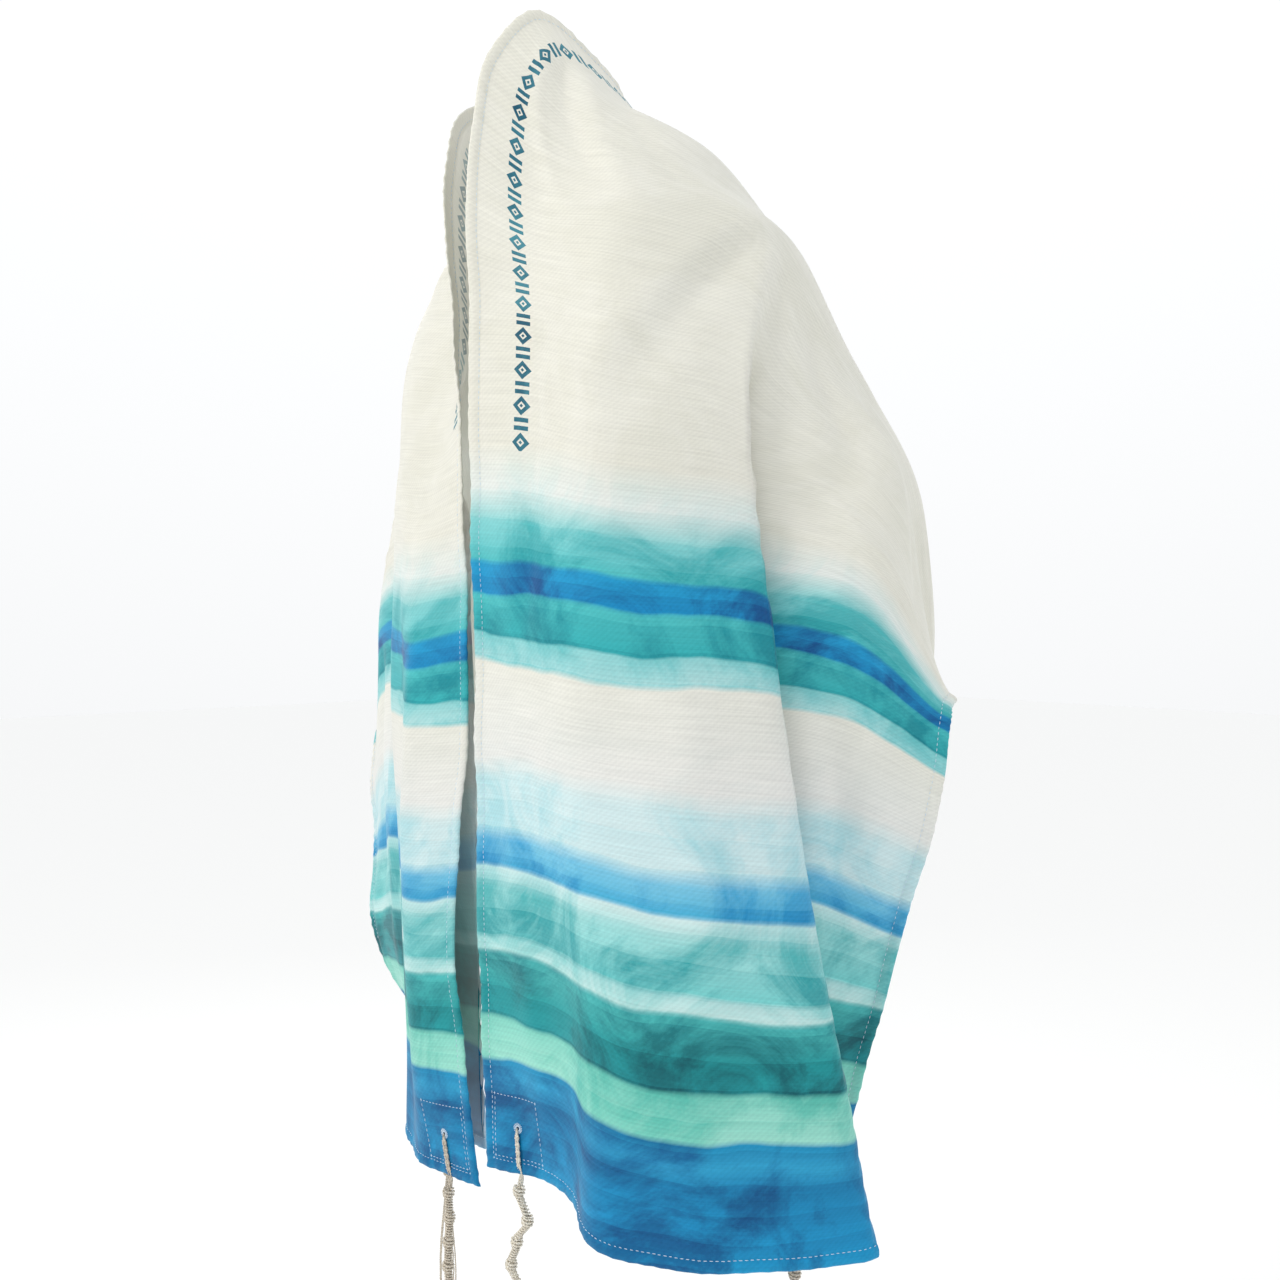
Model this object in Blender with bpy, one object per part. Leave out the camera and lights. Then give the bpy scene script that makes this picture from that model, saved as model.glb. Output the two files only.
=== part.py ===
"""A tallit prayer shawl, worn round the neck with its two ends hanging down the front.

One rectangular cloth, hemmed all round. Its neck edge runs from the left front corner up to
the neck, round it and down to the right front corner. Its outer edge crosses the back and
comes round both arms. Metres, +Z up, the wearer looks along -Y and their left is +X. The
origin is the middle of the neck, at the height where the cloth rests beside it.
"""

import math

import bmesh
import bpy
import numpy as np
from mathutils import Vector

# Driving sizes of the cut cloth
CLOTH_LENGTH = 2.03
HALF = CLOTH_LENGTH / 2
WALL = 0.002
SEAM_GAP = 0.0003
FRONT_FROM = 0.31  # the fronts begin this far along the cloth from its middle
STRETCH_GAP = 0.0008  # along the cloth, where threads run closer at the outer edge

# The worn form. Each guide line runs along the cloth, from the middle of the back to an end.
# Rows: distance along the cloth in m, then x, y, z in cm.
LEFT = {
    "neck edge": (
        (0.06, 3.4, 2.0, 4.2), (0.115, 4.6, -2.6, 6.2), (0.165, 3.6, -6.6, 8.4),
        (0.21, 3.2, -10.1, 4.6), (0.27, 4.4, -12.5, -1.4), (0.40, 5.2, -13.4, -14.6),
        (0.60, 4.8, -12.9, -34.6), (0.80, 3.7, -11.4, -55.4), (HALF, 3.3, -10.1, -77.0),
    ),
    "neck foot": (
        (0.06, 5.4, 4.4, 0.2), (0.115, 8.0, -0.4, 1.6), (0.165, 8.2, -4.6, 2.4),
        (0.22, 8.2, -8.0, -0.8), (0.28, 8.8, -10.2, -6.0), (0.40, 9.6, -11.8, -15.5),
        (0.60, 10.4, -13.0, -35.0),
        (HALF, 11.0, -10.4, -76.8),
    ),
    "chest": (
        (0.07, 8.0, 9.4, -5.8), (0.14, 13.4, 3.2, -2.8), (0.21, 15.0, -3.8, -4.2),
        (0.28, 15.6, -7.8, -8.0), (0.40, 16.6, -10.8, -17.5), (0.60, 17.8, -12.4, -36.0),
        (HALF, 20.6, -12.4, -78.2),
    ),
    "fold": (
        (0.08, 10.5, 12.8, -16.0), (0.17, 18.4, 6.8, -11.0), (0.25, 20.7, 0.6, -9.3),
        (0.33, 21.6, -2.6, -14.5), (0.60, 24.2, -3.2, -37.0), (0.85, 29.0, -2.2, -62.5),
        (HALF, 31.0, -0.2, -78.2),
    ),
    "tuck": (
        (0.09, 11.6, 14.2, -25.0), (0.19, 20.6, 10.4, -20.0), (0.28, 23.4, 3.6, -18.5),
        (0.35, 22.8, 0.2, -20.5), (0.43, 20.4, -4.2, -24.5), (0.60, 17.6, -7.4, -37.5),
        (HALF, 20.0, -6.6, -77.6),
    ),
    "side": (
        (0.10, 13.0, 15.4, -34.0), (0.20, 21.6, 13.6, -29.5), (0.30, 26.2, 8.2, -26.0),
        (0.38, 27.2, 5.4, -27.0), (0.46, 27.2, 3.8, -30.5), (0.60, 26.2, 2.2, -39.5),
        (HALF, 21.8, -3.6, -77.0),
    ),
    "outer edge": (
        (0.10, 11.0, 16.0, -48.0), (0.20, 18.0, 16.2, -45.5), (0.30, 23.2, 15.6, -44.0),
        (0.40, 26.4, 13.8, -43.4), (0.50, 28.4, 11.6, -42.6), (0.58, 29.5, 9.8, -43.8),
        (0.66, 29.6, 9.0, -48.2), (0.80, 27.2, 7.2, -59.5), (0.92, 25.0, 5.6, -69.5),
        (HALF, 23.2, 4.2, -76.5),
    ),
}
RIGHT = {
    "neck edge": (
        (0.06, -5.4, 1.4, 4.2), (0.115, -6.6, -3.4, 4.6), (0.165, -5.2, -7.4, 2.0),
        (0.215, -3.4, -9.4, -2.6), (0.27, -2.0, -10.3, -8.0), (0.40, 0.3, -10.7, -20.6),
        (0.60, 1.7, -10.9, -40.0), (0.86, -0.2, -10.8, -64.0), (HALF, 1.9, -9.9, -79.0),
    ),
    "neck foot": (
        (0.06, -6.6, 4.4, -0.4), (0.115, -8.4, 0.2, 0.0), (0.165, -7.0, -3.2, -1.8),
        (0.215, -5.0, -5.2, -6.2), (0.27, -3.9, -6.5, -11.4), (0.33, -3.4, -7.6, -16.6),
        (0.40, -3.8, -9.4, -22.2), (0.48, -4.9, -11.0, -29.4), (0.60, -4.8, -11.8, -40.5),
        (HALF, -4.8, -10.9, -79.2),
    ),
    "chest": (
        (0.07, -8.0, 9.4, -6.2), (0.14, -13.0, 4.2, -4.4), (0.21, -13.4, -1.6, -6.5),
        (0.28, -12.0, -5.0, -12.0), (0.40, -10.6, -8.4, -22.0), (0.60, -9.8, -9.4, -40.0),
        (HALF, -8.6, -9.2, -79.0),
    ),
    "fold": (
        (0.08, -10.5, 12.8, -16.0), (0.17, -18.4, 8.4, -11.2), (0.25, -21.2, 2.4, -9.8),
        (0.33, -19.6, -2.2, -15.6), (0.42, -16.2, -4.6, -23.5), (0.60, -14.0, -6.6, -39.5),
        (HALF, -11.2, -6.9, -78.4),
    ),
    "tuck": (
        (0.09, -11.6, 14.2, -25.0), (0.19, -20.4, 11.2, -20.0), (0.28, -22.6, 5.0, -19.0),
        (0.35, -21.0, 0.6, -21.0), (0.43, -13.6, -1.4, -26.0), (0.60, -6.4, -5.6, -39.0),
        (HALF, -2.6, -6.6, -78.0),
    ),
    "side": (
        (0.10, -13.0, 15.4, -34.0), (0.20, -22.0, 13.8, -29.5), (0.30, -27.2, 8.4, -25.0),
        (0.38, -29.2, 3.2, -27.0), (0.46, -29.0, 1.4, -31.0), (0.60, -25.4, -1.4, -39.5),
        (HALF, -17.6, -2.4, -79.0),
    ),
    "outer edge": (
        (0.10, -11.0, 16.0, -48.0), (0.20, -18.0, 16.2, -45.5), (0.30, -24.4, 15.4, -44.5),
        (0.40, -29.4, 12.6, -44.5), (0.50, -32.4, 7.4, -45.0), (0.60, -32.8, 3.8, -47.0),
        (0.80, -32.8, 2.8, -61.0), (0.88, -32.4, 2.6, -67.5), (HALF, -24.4, 7.2, -79.5),
    ),
}
# Where the guide lines cross the middle of the back: y and z in cm
MIDDLE = {
    "neck edge": (3.2, 2.8), "neck foot": (6.4, -1.6), "chest": (10.8, -8.0),
    "fold": (13.6, -17.0), "tuck": (14.6, -26.0), "side": (15.0, -36.0),
    "outer edge": (15.2, -50.0),
}
GUIDES = tuple(MIDDLE)

# The two guide lines where the cloth doubles back, with the room inside the bend in m:
# wide where it starts at the shoulder, narrow from the waist down
BENDS = {"fold": (0.030, 0.014), "tuck": (0.034, 0.024)}
BEND_STARTS, BEND_CLOSED = 0.25, 0.55

# Flutes that fan out down the back: place along the cloth, half width and depth, in m
FLUTES = (
    (-0.370, 0.060, 0.020), (-0.225, 0.075, 0.034), (-0.075, 0.070, 0.028),
    (0.085, 0.075, 0.032), (0.225, 0.065, 0.024),
)
FLUTE_TOP = 0.30  # share of the width, from the neck, that stays smooth

# Stitched squares at the corners, with the eyelet in the middle of each
PATCH_SIZE, PATCH_INSET, PATCH_WALL = 0.050, 0.009, 0.001
EYELET_IN = PATCH_INSET + PATCH_SIZE / 2
PATCH_LINES = (PATCH_INSET, EYELET_IN, PATCH_INSET + PATCH_SIZE)

# Columns of faces between the guide lines and in the bends, apart from the two edge pieces,
# whose columns follow the patches' lines
INNER_COLUMNS = (4, 4, 3, 4, 3, 4)
PIECES = len(INNER_COLUMNS) + 2
BACK_STEP, FRONT_STEP = 0.022, 0.048
FACING_ALONG, FACING_ACROSS = 0.002, 0.02  # steps that a facing is taken over: m, and of a piece
HEM_SAMPLES = 40  # for each piece, when places are measured in from an edge

# Corner fringes
CORD_RADIUS, KNOT_RADIUS = 0.0019, 0.0036
ON_FACE = (1.0, 0.6, 0.2)  # places of the loop on the cloth: shares of the way up to the eyelet
DROP_TO_KNOT = 0.012  # from the hem to the first knot
KNOTS, KNOT_PITCH, KNOT_LENGTH = 5, 0.019, 0.007
KNOT_SWAY_TURN = 1.7  # radians of sway from knot to knot
STRINGS, STRING_LENGTH, STRING_STEPS = 8, 0.165, 5
STRING_SPREAD, STRING_SWING, STRING_APART = 0.0154, 0.0003, 0.0003
SPREAD_LOST = 0.2  # share of the spread that each step down loses
SWING_TURNS = (2.4, 1.3)  # radians of swing from string to string, and from step to step
# Rings of one knot: height in half knot lengths, and radius
KNOT_RINGS = ((1.0, CORD_RADIUS), (0.45, KNOT_RADIUS), (-0.45, KNOT_RADIUS), (-1.0, CORD_RADIUS))
# Rows: name, end of the cloth (+1 left), at the outer edge, sway of the knotted run in m
FRINGES = (
    ("fringe_left_front", 1, False, 0.010),
    ("fringe_left_outer", 1, True, 0.003),
    ("fringe_right_front", -1, False, 0.001),
    ("fringe_right_outer", -1, True, 0.004),
)

WARM_WHITE = (0.86, 0.85, 0.80, 1.0)
SEA_BLUE = (0.02, 0.22, 0.45, 1.0)
CORD_WHITE = (0.80, 0.76, 0.66, 1.0)


def clear_scene():
    for thing in list(bpy.data.objects):
        bpy.data.objects.remove(thing, do_unlink=True)


def material(name, colour, roughness):
    made = bpy.data.materials.new(name)
    made.use_nodes = True
    shader = made.node_tree.nodes["Principled BSDF"]
    shader.inputs["Base Color"].default_value = colour
    shader.inputs["Roughness"].default_value = roughness
    shader.inputs["Metallic"].default_value = 0.0
    made.diffuse_color = colour
    return made


def ease(value, start, end):
    """0 before start, 1 after end, with a soft step between."""
    share = min(max((value - start) / (end - start), 0.0), 1.0)
    return share * share * (3 - 2 * share)


def smooth_line(knots, points, at):
    """Points of a smooth curve through the given points, whose knots may be uneven."""
    step = np.diff(knots)[:, None]
    slope = np.diff(points, axis=0) / step
    tangent = np.empty_like(points)
    tangent[0], tangent[-1] = slope[0], slope[-1]
    tangent[1:-1] = (slope[:-1] * step[1:] + slope[1:] * step[:-1]) / (step[:-1] + step[1:])
    piece = np.clip(np.searchsorted(knots, at, side="right") - 1, 0, len(knots) - 2)
    span = step[piece]
    u = (at[:, None] - knots[piece][:, None]) / span
    return (
        (2 * u**3 - 3 * u**2 + 1) * points[piece]
        + (u**3 - 2 * u**2 + u) * span * tangent[piece]
        + (3 * u**2 - 2 * u**3) * points[piece + 1]
        + (u**3 - u**2) * span * tangent[piece + 1]
    )


def guide_table(name):
    """The whole guide line from the right end to the left end: knots and points in m."""
    y, z = MIDDLE[name]
    right = [(-along, *place) for along, *place in reversed(RIGHT[name])]
    rows = np.array([*right, (0.0, 0.0, y, z), *LEFT[name]], float)
    return rows[:, 0], rows[:, 1:] / 100


GUIDE_LINES = {name: guide_table(name) for name in GUIDES}


def section(along):
    """One thread across the cloth: the knots and points that it passes, neck edge first."""
    here = [smooth_line(*GUIDE_LINES[name], np.array([along]))[0] for name in GUIDES]
    closed = ease(abs(along), BEND_STARTS, BEND_CLOSED)
    points = []
    for i, name in enumerate(GUIDES):
        if name not in BENDS:
            points.append(here[i])
            continue
        wide, narrow = BENDS[name]
        across = here[i + 1] - here[i - 1]
        half = across / np.linalg.norm(across) * (wide + (narrow - wide) * closed) / 2
        points += [here[i] - half, here[i] + half]
    points = np.array(points)
    spacing = np.sqrt(np.linalg.norm(np.diff(points, axis=0), axis=1))
    return np.concatenate([[0.0], np.cumsum(spacing)]), points


def add_flutes(along, points):
    """Moves one thread's points out from the body where flutes cross it."""
    lengths = np.linalg.norm(np.diff(points, axis=0), axis=1)
    share = np.concatenate([[0.0], np.cumsum(lengths)]) / lengths.sum()
    depth = 0.0
    for place, half_width, full_depth in FLUTES:
        off = abs(along - place) / half_width
        if off < 1:
            depth += full_depth * math.cos(off * math.pi / 2) ** 2
    out = points * (1, 1, 0)
    out /= np.linalg.norm(out, axis=1)[:, None]
    fade = np.array([ease(value, FLUTE_TOP, 1.0) for value in share])
    return points + out * (depth * fade)[:, None]


def thread(along, places):
    """Points of one thread across the cloth. Places count the pieces between guide points."""
    knots, points = section(along)
    piece = np.arange(len(knots))
    return add_flutes(along, smooth_line(knots, points, np.interp(places, piece, knots)))


def thread_and_facing(along, places):
    """One thread's points, and the directions that the cloth's outer face looks in there."""
    down = thread(along - FACING_ALONG, places) - thread(along + FACING_ALONG, places)
    over = thread(along, np.minimum(places + FACING_ACROSS, PIECES))
    over -= thread(along, np.maximum(places - FACING_ACROSS, 0))
    facing = np.cross(over, down)
    return thread(along, places), facing / np.linalg.norm(facing, axis=1)[:, None]


def places_in_from_edge(end, distances, outer):
    """Places on the end's hem that lie these distances in from one of its two edges."""
    fine = np.linspace(0, PIECES, HEM_SAMPLES * PIECES + 1)
    points = thread(end * HALF, fine)
    run = np.concatenate([[0.0], np.cumsum(np.linalg.norm(np.diff(points, axis=0), axis=1))])
    wanted = run[-1] - np.array(distances[::-1]) if outer else np.array(distances)
    return np.interp(wanted, run, fine)


def columns_at_end(end):
    """Places of all the columns at one end, with those of the patches among them."""
    first = places_in_from_edge(end, PATCH_LINES, False)
    last = places_in_from_edge(end, PATCH_LINES, True)
    between = [i + 1 + k / n for i, n in enumerate(INNER_COLUMNS) for k in range(n)]
    half_way = (PIECES - 1 + last[0]) / 2
    return np.array([0.0, *first, *between, PIECES - 1, half_way, *last, PIECES])


END_COLUMNS = {end: columns_at_end(end) for end in (1, -1)}


def columns(along):
    """Places of the columns on one thread, between those of the two fronts on the back."""
    share = min(max((along / FRONT_FROM + 1) / 2, 0.0), 1.0)
    return END_COLUMNS[-1] * (1 - share) + END_COLUMNS[1] * share


def add_object(name, form, look):
    mesh = bpy.data.meshes.new(name)
    form.to_mesh(mesh)
    form.free()
    made = bpy.data.objects.new(name, mesh)
    bpy.context.scene.collection.objects.link(made)
    mesh.materials.append(look)
    mesh.shade_smooth()


def add_wall(name, middle, facing, thickness, look):
    """A closed wall round rows of points, half its thickness to each side."""
    form = bmesh.new()
    rows, columns = middle.shape[:2]
    sides = []
    for side in (1, -1):
        points = middle + facing * side * thickness / 2
        sides.append([[form.verts.new(point) for point in row] for row in points])
    outer, inner = sides
    for grid in sides:
        for r in range(rows - 1):
            for c in range(columns - 1):
                form.faces.new((grid[r][c], grid[r + 1][c], grid[r + 1][c + 1]))
                form.faces.new((grid[r][c], grid[r + 1][c + 1], grid[r][c + 1]))
    rim = [(r, 0) for r in range(rows)] + [(rows - 1, c) for c in range(1, columns)]
    rim += [(r, columns - 1) for r in range(rows - 2, -1, -1)]
    rim += [(0, c) for c in range(columns - 2, 0, -1)]
    for (r, c), (nr, nc) in zip(rim, rim[1:] + rim[:1]):
        form.faces.new((outer[r][c], inner[r][c], inner[nr][nc], outer[nr][nc]))
    bmesh.ops.recalc_face_normals(form, faces=form.faces[:])
    add_object(name, form, look)


def stations(start, end, step):
    return np.linspace(start, end, max(2, round(abs(end - start) / step) + 1))


def rows_of_cloth(alongs):
    both = np.array([thread_and_facing(along, columns(along)) for along in alongs])
    return both[:, 0], both[:, 1]


def add_cloth(look):
    inner, outer = FRONT_FROM - STRETCH_GAP / 2, FRONT_FROM + STRETCH_GAP / 2
    upper = stations(outer, BEND_CLOSED, BACK_STEP)
    lower = stations(BEND_CLOSED, HALF - PATCH_LINES[-1], FRONT_STEP)[1:]
    corner = [HALF - line for line in reversed(PATCH_LINES[:-1])]
    front = np.array([*upper, *lower, *corner, HALF])
    stretches = {
        "cloth_right_front": -front[::-1],
        "cloth_back": stations(-inner, inner, BACK_STEP),
        "cloth_left_front": front,
    }
    for name, alongs in stretches.items():
        middle, facing = rows_of_cloth(alongs)
        add_wall(name, middle, facing, WALL, look)


def add_patch(name, end, outer, look):
    """A square of cloth sewn inside a corner, made from the cloth's own points moved in."""
    middle, facing = rows_of_cloth(sorted(end * (HALF - line) for line in PATCH_LINES))
    square = slice(-4, -1) if outer else slice(1, 4)
    depth = WALL / 2 + SEAM_GAP + PATCH_WALL / 2
    middle, facing = middle[:, square], facing[:, square]
    add_wall(name, middle - facing * depth, facing, PATCH_WALL, look)


def fringe_path(end, outer, sway):
    """Rings of the knotted run, from the eyelet down: places and radii."""
    stand_off = WALL / 2 + SEAM_GAP + CORD_RADIUS
    middle, facing = rows_of_cloth([end * (HALF - EYELET_IN * up) for up in ON_FACE])
    column = -3 if outer else 2
    places = list(middle[:, column] + facing[:, column] * stand_off)
    radii = [CORD_RADIUS] * len(places)
    hem = places[-1] - np.array((0, 0, EYELET_IN * ON_FACE[-1]))
    for k in range(KNOTS):
        middle = hem - np.array((0, 0, DROP_TO_KNOT + k * KNOT_PITCH))
        middle[0] += sway * math.sin(k * KNOT_SWAY_TURN)
        for offset, radius in KNOT_RINGS:
            places.append(middle + np.array((0, 0, offset * KNOT_LENGTH / 2)))
            radii.append(radius)
    return np.array(places), radii


def add_fringe(name, end, outer, sway, look):
    """A knotted cord as one tube, whose last ring opens into a string for each sector."""
    places, radii = fringe_path(end, outer, sway)
    form = bmesh.new()
    rings = []
    for i, (place, radius) in enumerate(zip(places, radii)):
        ahead = Vector(places[min(i + 1, len(places) - 1)] - places[max(i - 1, 0)]).normalized()
        side = ahead.cross(Vector((0, 1, 0))).normalized()
        front = side.cross(ahead)
        turns = [2 * math.pi * k / STRINGS for k in range(STRINGS)]
        rings.append([
            form.verts.new(Vector(place) + (side * math.cos(t) + front * math.sin(t)) * radius)
            for t in turns
        ])
    for upper, lower in zip(rings, rings[1:]):
        for k in range(STRINGS):
            n = (k + 1) % STRINGS
            form.faces.new((upper[k], lower[k], lower[n], upper[n]))
    form.faces.new(rings[0])
    centre = form.verts.new(Vector(places[-1]) - Vector((0, 0, CORD_RADIUS)))
    last = rings[-1]
    sectors = [form.faces.new((last[(k + 1) % STRINGS], last[k], centre)) for k in range(STRINGS)]
    form.normal_update()
    bmesh.ops.inset_individual(form, faces=sectors, thickness=STRING_APART)
    middle = Vector(places[-1])
    for step in range(1, STRING_STEPS + 1):
        sectors = bmesh.ops.extrude_discrete_faces(form, faces=sectors)["faces"]
        for k, face in enumerate(sectors):
            out = (face.calc_center_median() - middle) * Vector((1, 1, 0))
            spread = STRING_SPREAD / STRING_STEPS * (1 - SPREAD_LOST * (step - 1))
            turn = SWING_TURNS[0] * k + SWING_TURNS[1] * step
            swing = STRING_SWING * (step - 1) * math.sin(turn)
            down = Vector((swing, -swing, -STRING_LENGTH / STRING_STEPS))
            for vert in face.verts:
                vert.co += out.normalized() * spread + down
    bmesh.ops.recalc_face_normals(form, faces=form.faces[:])
    add_object(name, form, look)


def main():
    clear_scene()
    cloth = material("cotton and silk cloth", WARM_WHITE, 0.7)
    patch = material("dyed corner patch", SEA_BLUE, 0.75)
    cord = material("twisted wool cord", CORD_WHITE, 0.85)
    add_cloth(cloth)
    for name, end, outer, sway in FRINGES:
        add_patch(name.replace("fringe", "patch"), end, outer, patch)
        add_fringe(name, end, outer, sway, cord)


main()
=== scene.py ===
"""A worn tallit: the hemmed cloth, its stitching, corner patches and knotted fringes."""

import math
from functools import partial

import bpy
import numpy as np
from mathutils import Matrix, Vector


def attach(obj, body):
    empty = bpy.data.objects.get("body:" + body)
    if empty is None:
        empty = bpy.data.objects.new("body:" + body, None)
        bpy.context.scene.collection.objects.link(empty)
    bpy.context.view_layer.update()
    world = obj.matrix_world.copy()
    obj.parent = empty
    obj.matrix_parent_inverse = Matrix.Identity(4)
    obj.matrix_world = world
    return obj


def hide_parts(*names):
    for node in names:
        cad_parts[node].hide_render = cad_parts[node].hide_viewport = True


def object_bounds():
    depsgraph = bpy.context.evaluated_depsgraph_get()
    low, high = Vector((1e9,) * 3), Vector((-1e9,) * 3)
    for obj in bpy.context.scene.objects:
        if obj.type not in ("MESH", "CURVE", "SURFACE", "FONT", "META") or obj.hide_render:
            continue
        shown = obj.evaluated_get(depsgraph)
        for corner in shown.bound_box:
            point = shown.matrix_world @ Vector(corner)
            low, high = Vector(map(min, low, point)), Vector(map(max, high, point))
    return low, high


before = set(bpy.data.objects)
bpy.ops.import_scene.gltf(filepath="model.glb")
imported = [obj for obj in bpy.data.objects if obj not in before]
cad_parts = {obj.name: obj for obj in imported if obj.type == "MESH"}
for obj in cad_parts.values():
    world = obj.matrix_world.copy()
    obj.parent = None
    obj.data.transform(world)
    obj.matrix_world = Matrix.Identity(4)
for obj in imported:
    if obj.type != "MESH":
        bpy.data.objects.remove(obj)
CAD_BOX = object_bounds()

# The camera of the photograph: place and aim in m, and lens in mm
CAMERA_AT = Vector((0.9587, -0.7884, -0.352))
CAMERA_LOOKS = Vector((-0.743, 0.669, -0.0257))
LENS, SENSOR = 43.9, 36.0
FLOOR_BELOW, FLOOR_HALF = 0.42, 14.0
LAMPS_LOOK = Vector((0, 0, -0.35))
# How bright the room is all round, and how much brighter towards x, y and z
ROOM_LEVEL, ROOM_LIGHT = 0.84, (-0.12, 0.11, 0.24)

# The cut cloth, in m
CLOTH_LENGTH, CLOTH_WIDTH = 2.03, 0.61
HALF = CLOTH_LENGTH / 2
HEM, HEM_STITCHES = 0.0095, 0.0082
HALF_WALL, HEM_EXTRA, RIM_ROUND = 0.0004, 0.0007, 0.0006
HEM_SWELL, HEM_SWELL_POWER = 1.2, 0.7  # how far the hem puffs out, against HEM_EXTRA
HEM_STEP, HEM_CLEAR = 0.0009, 0.0045  # its inner step, and how far off the plain rows begin
HEM_ROWS = (0.0, 0.0012, 0.0042, 0.0072, HEM_STITCHES, HEM, HEM + HEM_STEP)
GLOW_DEPTH = 0.002  # light goes this far into thin cloth, so that its shaded side glows
ROW_STEP, COLUMN_STEP = 0.0056, 0.0055
EDGE_BAND = 0.07  # this close to a long edge, widths are true

# Guide lines of the worn form, as the solids have them. Rows: distance along the cloth from
# the middle of the back in m, then x, y, z in cm.
LEFT = {
    "neck edge": (
        (0.06, 3.4, 2.0, 4.2), (0.115, 4.6, -2.6, 6.2), (0.165, 3.6, -6.6, 8.4),
        (0.21, 3.2, -10.1, 4.6), (0.27, 4.4, -12.5, -1.4), (0.40, 5.2, -13.4, -14.6),
        (0.60, 4.8, -12.9, -34.6), (0.80, 3.7, -11.4, -55.4), (HALF, 3.3, -10.1, -77.0),
    ),
    "neck foot": (
        (0.06, 5.4, 4.4, 0.2), (0.115, 8.0, -0.4, 1.6), (0.165, 8.2, -4.6, 2.4),
        (0.22, 8.2, -8.0, -0.8), (0.28, 8.8, -10.2, -6.0), (0.40, 9.6, -11.8, -15.5),
        (0.60, 10.4, -13.0, -35.0), (HALF, 11.0, -10.4, -76.8),
    ),
    "chest": (
        (0.07, 8.0, 9.4, -5.8), (0.14, 13.4, 3.2, -2.8), (0.21, 15.0, -3.8, -4.2),
        (0.28, 15.6, -7.8, -8.0), (0.40, 16.6, -10.8, -17.5), (0.60, 17.8, -12.4, -36.0),
        (HALF, 20.6, -12.4, -78.2),
    ),
    "fold": (
        (0.08, 10.5, 12.8, -16.0), (0.17, 18.4, 6.8, -11.0), (0.25, 20.7, 0.6, -9.3),
        (0.33, 21.6, -2.6, -14.5), (0.60, 24.2, -3.2, -37.0), (0.85, 29.0, -2.2, -62.5),
        (HALF, 31.0, -0.2, -78.2),
    ),
    "tuck": (
        (0.09, 11.6, 14.2, -25.0), (0.19, 20.6, 10.4, -20.0), (0.28, 23.4, 3.6, -18.5),
        (0.35, 22.8, 0.2, -20.5), (0.43, 20.4, -4.2, -24.5), (0.60, 17.6, -7.4, -37.5),
        (HALF, 20.0, -6.6, -77.6),
    ),
    "side": (
        (0.10, 13.0, 15.4, -34.0), (0.20, 21.6, 13.6, -29.5), (0.30, 26.2, 8.2, -26.0),
        (0.38, 27.2, 5.4, -27.0), (0.46, 27.2, 3.8, -30.5), (0.60, 26.2, 2.2, -39.5),
        (HALF, 21.8, -3.6, -77.0),
    ),
    "outer edge": (
        (0.10, 11.0, 16.0, -48.0), (0.20, 18.0, 16.2, -45.5), (0.30, 23.2, 15.6, -44.0),
        (0.40, 26.4, 13.8, -43.4), (0.50, 28.4, 11.6, -42.6), (0.58, 29.5, 9.8, -43.8),
        (0.66, 29.6, 9.0, -48.2), (0.80, 27.2, 7.2, -59.5), (0.92, 25.0, 5.6, -69.5),
        (HALF, 23.2, 4.2, -76.5),
    ),
}
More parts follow.
